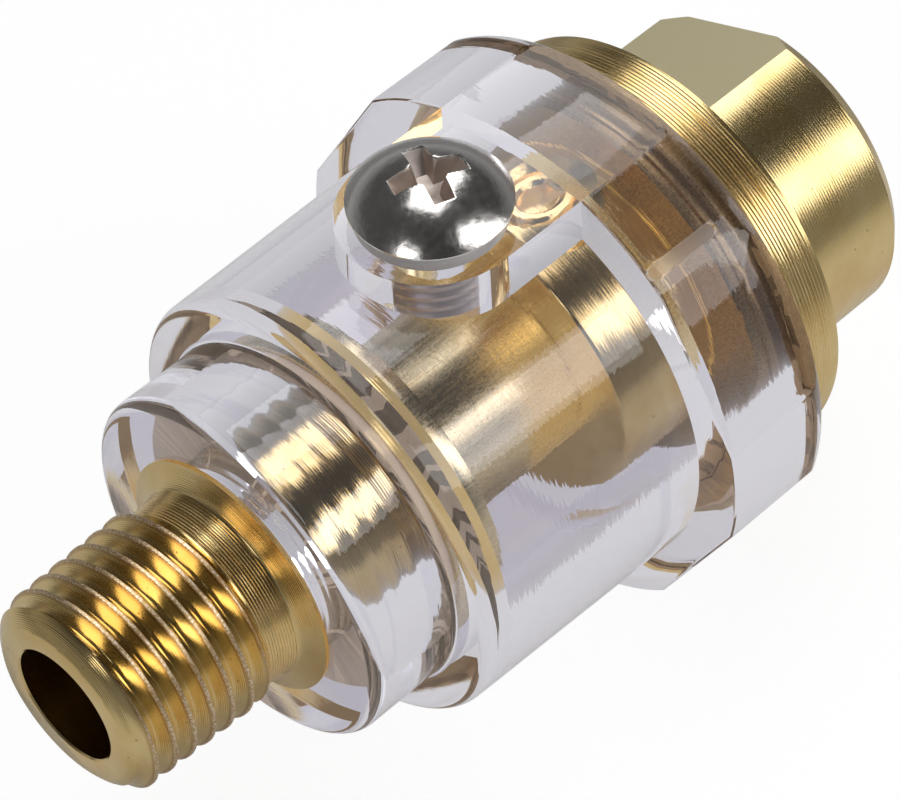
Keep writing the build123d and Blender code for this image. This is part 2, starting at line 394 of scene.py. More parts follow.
def noise(tree, vector, scale, detail):
    """A noise over a place in millimetres."""
    inputs = {"Vector": vector, "Scale": scale, "Detail": detail}
    return add(tree, "ShaderNodeTexNoise", inputs).outputs["Fac"]


def spotted(tree, vector, scale, inner, outer, share):
    """A share in small round spots, which fades between two distances from their middles."""
    cells = add(tree, "ShaderNodeTexVoronoi", {"Vector": vector, "Scale": scale}, feature="F1")
    return ranged(tree, cells.outputs["Distance"], inner, outer, share, 0.0)


def bumped(tree, height, depth, under=None, strength=1.0):
    """The normal of a bump that is depth mm high, over the normal of the bump under it."""
    inputs = {"Height": height, "Distance": depth * MM, "Strength": strength}
    if under is not None:
        inputs["Normal"] = under
    return add(tree, "ShaderNodeBump", inputs).outputs["Normal"]


def mixed_shader(tree, share, a, b):
    """One shader laid over another by a share."""
    return add(tree, "ShaderNodeMixShader", {0: share, 1: a, 2: b}).outputs[0]


def principled(tree, output, metallic, colour, roughness, normal):
    """Ends a material in one Principled shader."""
    inputs = {"Base Color": colour, "Metallic": metallic, "Roughness": roughness, "Normal": normal}
    shader = add(tree, "ShaderNodeBsdfPrincipled", inputs)
    tree.links.new(shader.outputs[0], output.inputs["Surface"])


# %% [markdown]
# Turned brass shows fine lines where the tool went round, one for each turn of the bar, with some
# deeper than others. A sine over place along plus radius gives even lines on cylinders and on faces
# alike, and a one-dimensional noise adds the deeper ones. Slow noise shifts the colour a little, and
# small dark pits are the tarnish that handling leaves. Some places wear or shine in their own way,
# so a function of marks may change the colour, the roughness and the depth of the lines there: the
# outlet thread's burred crests, the drawn tube's streaks, the milled flats, and the plug's face in
# the collar, where a dark brown is painted shade.

# %% Brass
PIPE_TAPER = 1 / 32
FLATS_ACROSS = 18.4
FLATS_ANGLE = 22
OUTLET_THREAD_END = 10.0
CREST_LEVELS = ((6.20, 6.30), (6.35, 6.39))
SOCKET_FROM = 50.0
PLUG_MIDDLE = 43.95
PLUG_HALF_LENGTH = 1.45
PLUG_FROM_R = 9.6
BRASS_LIGHT = (0.91, 0.71, 0.35, 1)
BRASS_DEEP = (0.82, 0.59, 0.25, 1)
BRASS_PIT = (0.30, 0.19, 0.07, 1)
BRASS_PALE = (0.98, 0.89, 0.62, 1)
CREST_PALE = (0.95, 0.80, 0.62, 1)
CREST_EDGE = (0.42, 0.22, 0.09, 1)
FLAT_PALE = (1.0, 0.91, 0.62, 1)
# A dark brown painted on the plug's face in the collar as painted shade.
PLUG_SHADE_BROWN = (0.30, 0.19, 0.09, 1)


def turned_brass(
    name, roughness=0.17, line_pitch=0.14, line_depth=0.0022, ring_depth=0.008, grain_depth=0.002,
    marks=None,
):
    """Brass with turning lines, sized in millimetres. marks adds a place's own wear, and for the plug
    a painted shade.
    """
    material, tree, output = new_material(name)
    place = coordinates(tree)
    feed = math(tree, "ADD", place["Along"], place["Radius"])
    ring_inputs = {"W": feed, "Scale": 4.0, "Detail": 3.0, "Roughness": 0.7}
    rings = add(tree, "ShaderNodeTexNoise", ring_inputs, noise_dimensions="1D").outputs["Fac"]
    drift = math(tree, "MULTIPLY", rings, 0.1)
    angle = math(tree, "MULTIPLY", math(tree, "ADD", feed, drift), tau / line_pitch)
    uneven = math(tree, "ADD", rings, 0.2)
    lines = math(tree, "MULTIPLY", math(tree, "SINE", angle), uneven)
    grain = noise(tree, place["Place"], 8.0, 4.0)
    clouds = noise(tree, place["Place"], 0.3, 4.0)
    pits = spotted(tree, place["Place"], 0.9, 0.05, 0.08, 0.7)
    colour = blended(tree, ranged(tree, clouds, 0.35, 0.65), BRASS_DEEP, BRASS_LIGHT)
    colour = blended(tree, pits, colour, BRASS_PIT)
    rough = ranged(tree, grain, 0.3, 0.7, roughness * 0.8, roughness * 1.3)
    line_share = 1.0
    if marks:
        colour, rough, line_share = marks(tree, place, grain, colour, rough)
    bump = bumped(tree, lines, line_depth, strength=line_share)
    bump = bumped(tree, rings, ring_depth, bump, line_share)
    bump = bumped(tree, grain, grain_depth, bump)
    principled(tree, output, 1.0, colour, rough, bump)
    return material


def crest_marks(tree, place, grain, colour, rough):
    """The outlet thread's crests: a pale burred line between two tarnished ones."""
    slope = math(tree, "MULTIPLY", place["Along"], PIPE_TAPER)
    level = math(tree, "SUBTRACT", place["Radius"], slope)
    on_thread = math(tree, "LESS_THAN", place["Along"], OUTLET_THREAD_END)
    edge_level, crest_level = CREST_LEVELS
    edge = math(tree, "MULTIPLY", ranged(tree, level, *edge_level), on_thread)
    crest = math(tree, "MULTIPLY", ranged(tree, level, *crest_level), on_thread)
    speckle = ranged(tree, grain, 0.45, 0.6)
    colour = blended(tree, math(tree, "MULTIPLY", edge, 0.55), colour, CREST_EDGE)
    colour = blended(tree, math(tree, "MULTIPLY", crest, speckle), colour, CREST_PALE)
    rough = math(tree, "ADD", rough, math(tree, "MULTIPLY", crest, 0.22))
    return colour, rough, ranged(tree, edge, 0.0, 1.0, 1.0, 0.3)


def drawn_marks(tree, place, grain, colour, rough):
    """A drawn tube: streaks along it, and hardly any turning lines."""
    inputs = {0: place["Place"], 1: (0.05, 1, 1)}
    stretched = add(tree, "ShaderNodeVectorMath", inputs, operation="MULTIPLY")
    streaks = noise(tree, stretched.outputs[0], 5.0, 5.0)
    colour = blended(tree, ranged(tree, streaks, 0.4, 0.7, 0.35, 0.7), colour, BRASS_PALE)
    rough = math(tree, "ADD", rough, ranged(tree, streaks, 0.4, 0.65, -0.02, 0.05))
    return colour, rough, 0.3


def flat_marks(tree, place, grain, colour, rough):
    """The wrench flats, milled and matt with no turning lines, and painted shade on the plug."""
    turn = radians(FLATS_ANGLE)
    across = math(tree, "ABSOLUTE", along_direction(tree, place, (0, sin(turn), cos(turn))))
    on_socket = math(tree, "GREATER_THAN", place["Along"], SOCKET_FROM)
    flat = math(tree, "MULTIPLY", near_value(tree, across, FLATS_ACROSS / 2, 0.02), on_socket)
    colour = blended(tree, flat, colour, FLAT_PALE)
    rough = math(tree, "ADD", rough, math(tree, "MULTIPLY", flat, 0.38))
    # Painted shade: the plug's face in the collar is darkened to brown, where it lies in shadow.
    in_collar = near_value(tree, place["Along"], PLUG_MIDDLE, PLUG_HALF_LENGTH)
    outside = math(tree, "GREATER_THAN", place["Radius"], PLUG_FROM_R)
    plug = math(tree, "MULTIPLY", in_collar, outside)
    painted_shade = math(tree, "MULTIPLY", plug, ranged(tree, grain, 0.4, 0.65, 1.0, 0.7))
    colour = blended(tree, painted_shade, colour, PLUG_SHADE_BROWN)
    rough = math(tree, "ADD", rough, math(tree, "MULTIPLY", plug, 0.2))
    return colour, rough, math(tree, "SUBTRACT", 1.0, flat)


# %% [markdown]
# The bowl is a clear moulding with real walls, and three kinds of ray meet it. A ray that carries
# shadow passes straight through, so that the lamps reach the brass inside. What has been reflected
# inside the plastic also passes straight out, because a path through many walls would be cut short
# and turn black. Every other ray is bent by the walls. The moulding has slow waves and fine rings in
# its surface, and the bar on the collar, where a label would be raised, is frosted and bare.

# %% Clear plastic
CLEAR_TINT = (0.83, 0.815, 0.89, 1)
PASSING_TINT = (0.96, 0.958, 0.975, 1)
CLEAR_IOR = 1.52
BAR_LENGTH = 5.4
BAR_WIDTH = 0.85
BAR_DEPTH = 0.3
BAR_X = 39.3
BAR_TURN = 37.3
BAR_FLOOR_R = reach("oil_bowl", 1)[1] - 1.0


def on_bar(tree, place):
    """1 within the bar on the collar, and 0 elsewhere."""
    turn = radians(BAR_TURN)
    across = along_direction(tree, place, (0, cos(turn), sin(turn)))
    on_length = near_value(tree, place["Along"], BAR_X, BAR_LENGTH / 2)
    on_width = near_value(tree, across, 0.0, BAR_WIDTH / 2)
    outside = math(tree, "GREATER_THAN", place["Radius"], BAR_FLOOR_R)
    return math(tree, "MULTIPLY", math(tree, "MULTIPLY", on_length, on_width), outside)


def clear_plastic():
    """Real refraction for most rays, and a plain way through for the others."""
    material, tree, output = new_material("clear plastic")
    place = coordinates(tree)
    flow = noise(tree, place["Place"], 0.25, 2.0)
    ring_inputs = {"W": place["Along"], "Scale": 3.0}
    rings = add(tree, "ShaderNodeTexNoise", ring_inputs, noise_dimensions="1D").outputs["Fac"]
    glassy = add(
        tree,
        "ShaderNodeBsdfPrincipled",
        {
            "Base Color": CLEAR_TINT,
            "Roughness": ranged(tree, on_bar(tree, place), 0.0, 1.0, 0.02, 0.4),
            "IOR": CLEAR_IOR,
            "Specular IOR Level": 0.9,
            "Transmission Weight": 1.0,
            "Normal": bumped(tree, rings, 0.006, bumped(tree, flow, 0.02)),
        },
    ).outputs[0]
    passing = add(tree, "ShaderNodeBsdfTransparent", {"Color": PASSING_TINT}).outputs[0]
    path = add(tree, "ShaderNodeLightPath")
    been_inside = math(tree, "GREATER_THAN", path.outputs["Transmission Depth"], 0.5)
    leaving = mixed_shader(tree, been_inside, glassy, passing)
    bending = mixed_shader(tree, path.outputs["Is Reflection Ray"], glassy, leaving)
    mixed = mixed_shader(tree, path.outputs["Is Shadow Ray"], bending, passing)
    tree.links.new(mixed, output.inputs["Surface"])
    return material


# %% [markdown]
# The seals and the wick have one colour each, which a noise darkens a little in places. The plated
# screw's dome is a part of a sphere, so a point that lies inside that sphere is in the cross recess,
# where the plating is rough.

# %% Plain finishes and nickel
GRAIN_SHADE = 0.12
NICKEL_LIGHT = (0.88, 0.85, 0.82, 1)
NICKEL_DEEP = (0.78, 0.75, 0.72, 1)
NICKEL_ROUGH = (0.62, 0.54, 0.49, 1)


def plain(name, colour, roughness, scale=6.0, depth=0.01):
    """A finish of one colour that varies a little, with a fine grain in its surface."""
    material, tree, output = new_material(name)
    grain = noise(tree, coordinates(tree)["Place"], scale, 4.0)
    darker = tuple(c * (1 - GRAIN_SHADE) for c in colour[:3]) + (1,)
    shade = blended(tree, grain, darker, colour)
    principled(tree, output, 0.0, shade, roughness, bumped(tree, grain, depth))
    return material


def bright_nickel(centre, radius):
    """Nickel plate on a domed head, smooth on the dome's sphere and rough inside it."""
    material, tree, output = new_material("bright nickel")
    place = coordinates(tree)["Place"]
    grain = noise(tree, place, 2.5, 5.0)
    away = add(tree, "ShaderNodeVectorMath", {0: place, 1: centre}, operation="DISTANCE")
    recess = ranged(tree, away.outputs["Value"], radius - 0.2, radius - 0.08, 1.0, 0.0)
    shade = blended(tree, grain, NICKEL_DEEP, NICKEL_LIGHT)
    colour = blended(tree, recess, shade, NICKEL_ROUGH)
    colour = blended(tree, spotted(tree, place, 1.6, 0.06, 0.1, 0.5), colour, NICKEL_ROUGH)
    rough = ranged(tree, grain, 0.3, 0.7, 0.15, 0.23)
    rough = math(tree, "ADD", rough, math(tree, "MULTIPLY", recess, 0.25))
    principled(tree, output, 1.0, colour, rough, bumped(tree, grain, 0.012))
    return material


# %% Every finish but the nickel
threaded_brass = turned_brass(
    "threaded brass", roughness=0.15, line_pitch=0.17, line_depth=0.003, marks=crest_marks
)
drawn_brass = turned_brass("drawn brass", roughness=0.24, grain_depth=0.0008, marks=drawn_marks)
grooved_brass = turned_brass(
    "grooved brass", roughness=0.2, line_pitch=0.2, line_depth=0.003, marks=flat_marks
)
fine_brass = turned_brass("fine turned brass", line_pitch=0.1, line_depth=0.001, ring_depth=0.005)
clear = clear_plastic()
nylon = plain("nylon seal", (0.76, 0.74, 0.75, 1), 0.3)
fibre = plain("fibre gasket", (0.74, 0.62, 0.5, 1), 0.6)
orange_rubber = plain("orange rubber", (0.50, 0.31, 0.14, 1), 0.55)
black_rubber = plain("black rubber", (0.02, 0.02, 0.02, 1), 0.45)
felt = plain("felt", (0.85, 0.82, 0.74, 1), 0.95, scale=12.0, depth=0.08)
print(f"{len(bpy.data.materials)} materials")

# %% [markdown]
# ## The outlet nipple
# A brass bar with the pipe thread at its front, an undercut neck, and a flare that closes the bowl's
# nose. Behind the flare a spigot holds the nipple in the bowl, with a thread that was turned down to
# a trace. The neck's grooves are real steps in its outline, since a bump alone hides under its gloss.

# %% Outlet nipple
PIPE_MAJOR_R = 13.157 / 2
PIPE_MINOR_R = 11.445 / 2
PIPE_PITCH = 1.411
outlet_face_r = 5.45
outlet_bore_r = 3.75
RUN_OUT_R = 6.1
RUN_OUT_SLOPE = 0.8
neck_r = 6.13
neck_end = (12.0, 6.4)
flare_r = 7.9
flare_x = shoulder_x - 0.3
front_spigot_r = 4.73
tube_seat_x = tube_front_x - 0.3
SPIGOT_CREST_R = 6.5
SPIGOT_ROOT_R = 6.47
SPIGOT_CREST_X = 13.6
FACE_ROUND = 0.3
NECK_PITCH = 0.17
NECK_DEPTH = 0.012
FLARE_POWER = 1.35


def outlet_limit(x):
    """The chamfer at the outlet's end, and the run-out of the thread into the neck."""
    run_out = OUTLET_THREAD_END - x
    eased = FACE_ROUND * max(0, 1 - x / (2 * FACE_ROUND)) ** 2
    low = RUN_OUT_R - RUN_OUT_SLOPE * max(run_out, 0)
    return low, min(outlet_face_r + x - eased, RUN_OUT_R + run_out)


def neck_grooves():
    """Outline points of the neck, with the fine grooves that its tool left."""
    points = []
    count = int((neck_end[0] - OUTLET_THREAD_END) / NECK_PITCH)
    for i in range(count):
        share = i / count
        x = OUTLET_THREAD_END + share * (neck_end[0] - OUTLET_THREAD_END)
        r = neck_r + share * (neck_end[1] - neck_r)
        points += [(x, r), (x + 0.5 * NECK_PITCH, r - NECK_DEPTH)]
    return points


def flare():
    """Outline points of the flare, steeper towards its rim."""
    points = []
    steps = 12
    for i in range(steps + 1):
        share = i / steps
        x = neck_end[0] + share * (flare_x - neck_end[0])
        points.append((x, neck_end[1] + (flare_r - neck_end[1]) * share**FLARE_POWER))
    return points


def outlet_nipple():
    """The thread, the neck and the spigot, joined and bored through."""
    thread = threaded(
        0, OUTLET_THREAD_END, PIPE_MINOR_R - 0.1, PIPE_MAJOR_R - 0.12, PIPE_PITCH,
        crest_x=0.7, limit=outlet_limit, taper=PIPE_TAPER,
    )
    neck = turned(
        [(9.5, 0), (9.5, 5.5), (9.9, neck_r)]
        + neck_grooves()
        + flare()
        + [(shoulder_x - 0.06, flare_r), (shoulder_x - 0.02, flare_r - 0.04)]
        + [(shoulder_x - 0.02, PIPE_MINOR_R), (shoulder_x + 0.5, PIPE_MINOR_R - 0.1)]
        + [(shoulder_x + 0.5, 0)]
    )
    spigot = threaded(
        shoulder_x - 0.2, spigot_end_x, SPIGOT_ROOT_R, SPIGOT_CREST_R, PIPE_PITCH,
        crest_x=SPIGOT_CREST_X, limit=lambda x: (0, SPIGOT_ROOT_R + 0.05 + spigot_end_x - x),
    )
    bore = turned(
        [(-1, 0), (-1, outlet_bore_r + 1.1), (0.1, outlet_bore_r), (tube_seat_x, outlet_bore_r)]
        + [(tube_seat_x, front_spigot_r), (spigot_end_x + 1, front_spigot_r), (spigot_end_x + 1, 0)]
    )
    return combined(thread, ("UNION", neck), ("UNION", spigot), ("DIFFERENCE", bore))


finished(
    outlet_nipple(), "threaded_nipple", "outlet_nipple", "lubricator", threaded_brass
)

# %% [markdown]
# ## The air tube and its flange
# A plain drawn tube with a round flange at its front, which presses the gasket on the bowl's wall,
# and a groove for the O-ring in the spigot before it. One outline gives all of it.

# %% Air tube
tube_r = 6.0
tube_bore_r = 3.0
tube_flange_r = 10.2
tube_flange_x = flange_disc_x + 1.2
rear_spigot_r = 4.2
tube_spigot_r = 4.7
ring_groove_r = 3.8
groove_front_x = tube_front_x + 1.2
groove_rear_x = tube_front_x + 2.5


def air_tube():
    """The tube with its flange, its two spigots and the O-ring's groove."""
    tube = turned(
        [(tube_front_x, tube_bore_r), (tube_front_x, tube_spigot_r), (groove_front_x, tube_spigot_r)]
        + [(groove_front_x, ring_groove_r), (groove_rear_x, ring_groove_r)]
        + [(groove_rear_x, tube_spigot_r), (flange_disc_x, tube_spigot_r)]
        + [(flange_disc_x, tube_flange_r), (tube_flange_x, tube_flange_r)]
        + [(tube_flange_x, tube_r), (boss_x, tube_r), (boss_x, rear_spigot_r)]
        + [(tube_end_x, rear_spigot_r), (tube_end_x, tube_bore_r)]
    )
    return rounded(tube, 0.08)


finished(air_tube(), "turned_air_tube", "air_tube", "lubricator", drawn_brass)

# %% [markdown]
# ## The inlet body
# One bar again: a boss that the metering screw crosses, a threaded plug in the bowl's collar, a
# flange with coarse turning grooves and a socket with two wrench flats and the pipe thread inside.
# It is turned first, and then threaded, bored and milled by Booleans in the order of a workshop.

# %% Inlet body
boss_r = 9.5
plug_x = boss_x + 7.8
plug_r = 12.87
COLLAR_PITCH = 1.5
inlet_flange_x = collar_rear_x + 0.6
flange_r = 14.4
socket_x = inlet_flange_x + 3.4
socket_r = 10.75
socket_end_r = 10.0
chamfer_x = end_x - 0.9
inlet_thread_x = end_x - 12.0
relief_end_x = inlet_thread_x + 1.8
relief_r = PIPE_MAJOR_R + 0.02
GROOVE_PITCH = 0.25
FLANGE_GROOVE = ((0, 0), (0.6, 0), (0.8, 0.06))
SOCKET_GROOVE = ((0, 0), (0.5, 0.012))
flats_length = 8.4
FLATS_TURN = Matrix.Rotation(radians(-FLATS_ANGLE), 4, "X")
throat_r = 2.0
throat_rear_x = metering_x + 2.95
METERING_HOLE_R = 2.55
METERING_MOUTH_R = 3.55
NEEDLE_HOLE_R = 1.95


def turning_grooves(start, length, r, shape):
    """Outline points along a side. shape gives each groove as (share of the pitch, depth) pairs."""
    turns = range(int(length / GROOVE_PITCH))
    return [(start + (i + share) * GROOVE_PITCH, r - depth) for i in turns for share, depth in shape]


def cross_hole():
    """The metering screw's hole from above: a needle's bore, a threaded bore and a wide mouth."""
    hole = turned(
        [(2.55, 0), (2.55, NEEDLE_HOLE_R), (5.15, NEEDLE_HOLE_R)]
        + [(5.15, METERING_HOLE_R), (8.4, METERING_HOLE_R)]
        + [(9.4, METERING_MOUTH_R), (10.2, METERING_MOUTH_R), (10.2, 0)],
        steps=96,
    )
    return moved(hole, upright(metering_x))


def wrench_flats():
    """Two blocks that leave the flats, one on each side of the socket."""
    blocks = []
    for side in (1, -1):
        waste = bmesh.new()
        bmesh.ops.create_cube(waste, size=1)
        size = Matrix.Diagonal((flats_length, 2 * socket_r, socket_r, 1))
        middle_x = end_x - flats_length / 2 + 0.01
        offset = Matrix.Translation((middle_x, 0, side * (FLATS_ACROSS + socket_r) / 2))
        blocks.append(moved(waste, FLATS_TURN @ offset @ size))
    return blocks


def inlet_body():
    """The turned bar with its outer thread, its bores and its wrench flats."""
    body = turned(
        [(boss_x, 0)]
        + arc((boss_x + 0.25, boss_r - 0.25), 0.25, 180, 90, 4)
        + [(plug_x, boss_r), (plug_x, plug_r - 0.5), (plug_x + 0.5, plug_r - 0.25)]
        + [(inlet_flange_x, plug_r - 0.25), (inlet_flange_x, flange_r - 0.05)]
        + turning_grooves(inlet_flange_x + 0.05, socket_x - inlet_flange_x, flange_r, FLANGE_GROOVE)
        + [(socket_x, flange_r - 0.08), (socket_x, socket_r)]
        + turning_grooves(socket_x + 0.1, chamfer_x - socket_x, socket_r, SOCKET_GROOVE)
        + [(chamfer_x, socket_r), (end_x, socket_end_r), (end_x, 0)]
    )
    plug_thread = threaded(
        plug_x + 0.6, inlet_flange_x - 0.2, plug_r - 0.15, plug_r, COLLAR_PITCH,
        crest_x=collar_rear_x,
    )
    inner = threaded(
        inlet_thread_x, end_x + 0.5, PIPE_MINOR_R, PIPE_MAJOR_R, PIPE_PITCH,
        limit=lambda x: (PIPE_MINOR_R + 0.9 - (end_x - x), 99),
    )
    seat_r = rear_spigot_r + 0.03
    throat = turned(
        [(boss_x - 1, 0), (boss_x - 1, seat_r), (tube_end_x, seat_r), (tube_end_x, throat_r)]
        + [(throat_rear_x, throat_r), (throat_rear_x + 1, tube_bore_r)]
        + [(inlet_thread_x - 1.6, tube_bore_r), (inlet_thread_x, PIPE_MINOR_R)]
        + [(inlet_thread_x, relief_r), (relief_end_x, relief_r), (relief_end_x, 0)]
    )
    return combined(
        body,
        ("UNION", plug_thread),
        ("DIFFERENCE", inner),
        ("DIFFERENCE", throat),
        ("DIFFERENCE", cross_hole()),
        *(("DIFFERENCE", block) for block in wrench_flats()),
    )


finished(inlet_body(), "turned_inlet_body", "inlet_body", "lubricator", grooved_brass)

# %% [markdown]
# ## The oil bowl
# One clear moulding. Its outside is a turned nose and body, a hexagonal collar whose corners were
# turned down, and a tongue that carries the collar's top flat forward round the filler screw. Its
# inside is the spigot's bore in the nose, the oil space, and a wider bore in the collar. The outer
# forms are joined first and then hollowed out, so that no wall has to be drawn twice.

# %% Oil bowl
nose_r = 11.65
nose_end_x = shoulder_x + 6.2
body_front_r = 14.3
body_rear_r = 14.6
edge_round = 0.8
collar_x = boss_x + 1.5
collar_corner_r = reach("oil_bowl", 1)[1]
collar_rear_round = 1.8
bowl_bore_r = 11.7
collar_bore_r = 12.9
bore_step_x = collar_rear_x - 6.6
THREAD_GAP = 0.06
NOSE_THREAD_GAP = 0.04
tongue_half_width = 5.54
tongue_round = 0.3
TONGUE_ROOT_DEPTH = 4.2
BAR_HEIGHT = 1.0
filler_hole_r = 2.55


def bowl_body():
    """The nose and the body, which widens a little towards the collar."""
    nose = arc((shoulder_x + edge_round, nose_r - edge_round), edge_round, 180, 90, 8)
    front = arc((nose_end_x + edge_round, body_front_r - edge_round), edge_round, 180, 90, 8)
    corner = arc((nose_end_x - 0.3, nose_r + 0.3), 0.3, -90, 0, 4)
    count = 16
    side = []
    for i in range(count + 1):
        share = i / count
        x = nose_end_x + edge_round + share * (collar_x - nose_end_x - edge_round)
        side.append((x, body_front_r + share * (body_rear_r - body_front_r)))
    rear = [(collar_x + 3, body_rear_r), (collar_x + 3, 0)]
    return turned([(shoulder_x, 0)] + nose + corner + front + side[1:] + rear, steps=240)


def collar():
    """The hexagon with its corners and its rear rim turned, and its front edges eased."""
    round_x = collar_rear_x - collar_rear_round
    inner_r = collar_corner_r - collar_rear_round
    profile = turned(
        [(collar_x - 1, 0), (collar_x - 1, collar_corner_r)]
        + arc((round_x, inner_r), collar_rear_round, 90, 0, 12)
        + [(collar_rear_x, 0)],
        steps=360,
    )
    bm = combined(hexagon_bar(collar_x, collar_rear_x, 2 * top_z), ("INTERSECT", profile))
    bmesh.ops.dissolve_limit(bm, angle_limit=radians(0.3), verts=bm.verts, edges=bm.edges)
    return rounded(bm, 0.25, 3, 60, lambda e: all(v.co.x < collar_x + 0.01 for v in e.verts))


def tongue():
    """A half disc round the screw, drawn out to the collar, with a small round on its top rim."""
    bm = bmesh.new()
    bmesh.ops.create_circle(
        bm,
        cap_ends=True,
        segments=128,
        radius=tongue_half_width,
        matrix=Matrix.Translation((filler_x, 0, top_z)),
    )
    everything = bm.verts[:] + bm.edges[:] + bm.faces[:]
    bmesh.ops.bisect_plane(
        bm, geom=everything, plane_co=(filler_x, 0, 0), plane_no=(1, 0, 0), clear_outer=True
    )
    straight = [e for e in bm.edges if all(abs(v.co.x - filler_x) < 1e-4 for v in e.verts)]
    drawn = bmesh.ops.extrude_edge_only(bm, edges=straight)
    verts = [g for g in drawn["geom"] if isinstance(g, bmesh.types.BMVert)]
    bmesh.ops.translate(bm, vec=(collar_x + 2 - filler_x, 0, 0), verts=verts)
    bmesh.ops.dissolve_limit(bm, angle_limit=radians(0.3), verts=bm.verts, edges=bm.edges)
    drawn_out(bm, (0, 0, -TONGUE_ROOT_DEPTH))
    return rounded(bm, tongue_round, 4, 60, lambda e: all(v.co.z > top_z - 0.01 for v in e.verts))


def bar_recess():
    """A pill-shaped cutter for the bar on one of the collar's flats."""
    bar = bmesh.new()
    bmesh.ops.create_cube(bar, size=BAR_HEIGHT)
    moved(bar, Matrix.Diagonal((BAR_LENGTH, BAR_WIDTH, 1, 1)))
    rounded(bar, 0.48 * BAR_WIDTH, 8, 60, lambda e: abs(e.verts[0].co.z - e.verts[1].co.z) > 0.5)
    turn = Matrix.Rotation(radians(BAR_TURN), 4, "X")
    middle_r = collar_corner_r + BAR_HEIGHT / 2 - BAR_DEPTH
    return moved(bar, turn @ Matrix.Translation((BAR_X, 0, middle_r)))


def oil_bowl():
    """The outer forms joined, then hollowed out and drilled."""
    low_r, high_r = SPIGOT_CREST_R + NOSE_THREAD_GAP, SPIGOT_CREST_R + THREAD_GAP
    nose_bore = threaded(
        shoulder_x - 0.5, cavity_x + 0.4, low_r, high_r, PIPE_PITCH, crest_x=SPIGOT_CREST_X
    )
    cavity = turned(
        [(cavity_x, 0), (cavity_x, bowl_bore_r), (bore_step_x, bowl_bore_r)]
        + [(bore_step_x + 0.6, collar_bore_r), (collar_rear_x + 1, collar_bore_r)]
        + [(collar_rear_x + 1, 0)],
        steps=240,
    )
    screw_hole = turned([(9, 0), (9, filler_hole_r), (18, filler_hole_r), (18, 0)], steps=64)
    moved(screw_hole, upright(filler_x))
    return combined(
        bowl_body(),
        ("UNION", collar()),
        ("UNION", tongue()),
        ("DIFFERENCE", nose_bore),
        ("DIFFERENCE", cavity),
        ("DIFFERENCE", screw_hole),
        ("DIFFERENCE", bar_recess()),
    )


finished(oil_bowl(), "clear_bowl", "oil_bowl", "lubricator", clear)

# %% [markdown]
# ## The filler screw
# A bright plated screw with a low domed head and a cross recess, on a nylon seal. The dome is a cap
# of a sphere, the thread is cut fine on its shank, and two tapered bars and a cone cut the recess.

# %% Filler screw
seal_low, seal_high = reach("filler_seal", 2)
head_z = seal_high
head_r = 4.8
head_rim = 0.2
head_height = 2.45
dome_rise = head_height - head_rim
dome_r = (head_r**2 + dome_rise**2) / (2 * dome_rise)
shank_r = 2.5
SHANK_ROOT_R = 2.3
SHANK_LENGTH = 6.0
FINE_PITCH = 0.8
RECESS_DEPTH = 1.8
RECESS_TOP = (5.7, 1.5)
RECESS_FLOOR = (2.6, 0.85)
RECESS_TURN = radians(-21)
SEAL_R = 4.5


def wing_cutter(turn):
    """One tapered bar of the cross recess."""
    bm = bmesh.new()
    bmesh.ops.create_cube(bm, size=1)
    for v in bm.verts:
        deep = v.co.z < 0
        length, width = RECESS_FLOOR if deep else RECESS_TOP
        v.co.x *= length
        v.co.y *= width
        v.co.z = -RECESS_DEPTH if deep else 0.3
    crown = Matrix.Translation((filler_x, 0, head_z + head_height)) @ Matrix.Rotation(turn, 4, "Z")
    return moved(bm, crown)


def filler_screw():
    """The domed head on its threaded shank, with the cross recess cut and its rims eased."""
    half = asin(head_r / dome_r)
    dome = []
    steps = 24
    for i in range(steps):
        tilt = half * (1 - i / steps)
        dome.append((head_height - dome_r * (1 - cos(tilt)), dome_r * sin(tilt)))
    head = turned(
        [(0, 0), (0, head_r - 0.12), (0.1, head_r)] + dome + [(head_height, 0)], steps=160
    )
    shank = threaded(
        -SHANK_LENGTH, 0.3, SHANK_ROOT_R, shank_r, FINE_PITCH,
        limit=lambda x: (0, 2.0 + x + SHANK_LENGTH), steps=64,
    )
    screw = combined(head, ("UNION", shank))
    moved(screw, upright(filler_x, head_z))
    cone = [(-RECESS_DEPTH - 0.15, 0), (-RECESS_DEPTH, 0.45), (0.3, 1.3), (0.3, 0)]
    centre = turned(cone, steps=48)
    moved(centre, upright(filler_x, head_z + head_height))
    screw = combined(
        screw,
        ("DIFFERENCE", wing_cutter(RECESS_TURN)),
        ("DIFFERENCE", wing_cutter(RECESS_TURN + pi / 2)),
        ("DIFFERENCE", centre),
    )
    return rounded(screw, 0.06, 2, 45, lambda e: all(v.co.z > head_z + 0.6 for v in e.verts))


dome_centre = Vector((filler_x, 0, head_z + head_height - dome_r))
nickel = bright_nickel(dome_centre, dome_r)
finished(filler_screw(), "plated_screw", "filler_screw", "filler_plug", nickel)


def seal():
    """The washer under the head."""
    thick = seal_high - seal_low
    washer = [(0, filler_hole_r), (0, SEAL_R), (thick, SEAL_R), (thick, filler_hole_r)]
    ring = turned(washer, steps=96)
    return moved(rounded(ring, 0.15, 3), upright(filler_x, seal_low))


finished(seal(), "nylon_seal", "filler_seal", "filler_washer", nylon)

# %% [markdown]
# ## The metering screw
# A small brass screw with a hexagon socket, deep in the boss's cross hole. Its needle crosses the
# air way and shuts the oil's port, so it is one slim outline with a threaded head on top.

# %% Metering screw
SCREW_LOW = -2.5
SCREW_HIGH = 8.5
HEX_DEPTH = 1.6
HEX_ACROSS = 2.5
NEEDLE_R = 0.8
STEM_R = 1.9
STEM_LOW = 4.45
METERING_THREAD_LOW = 6.0


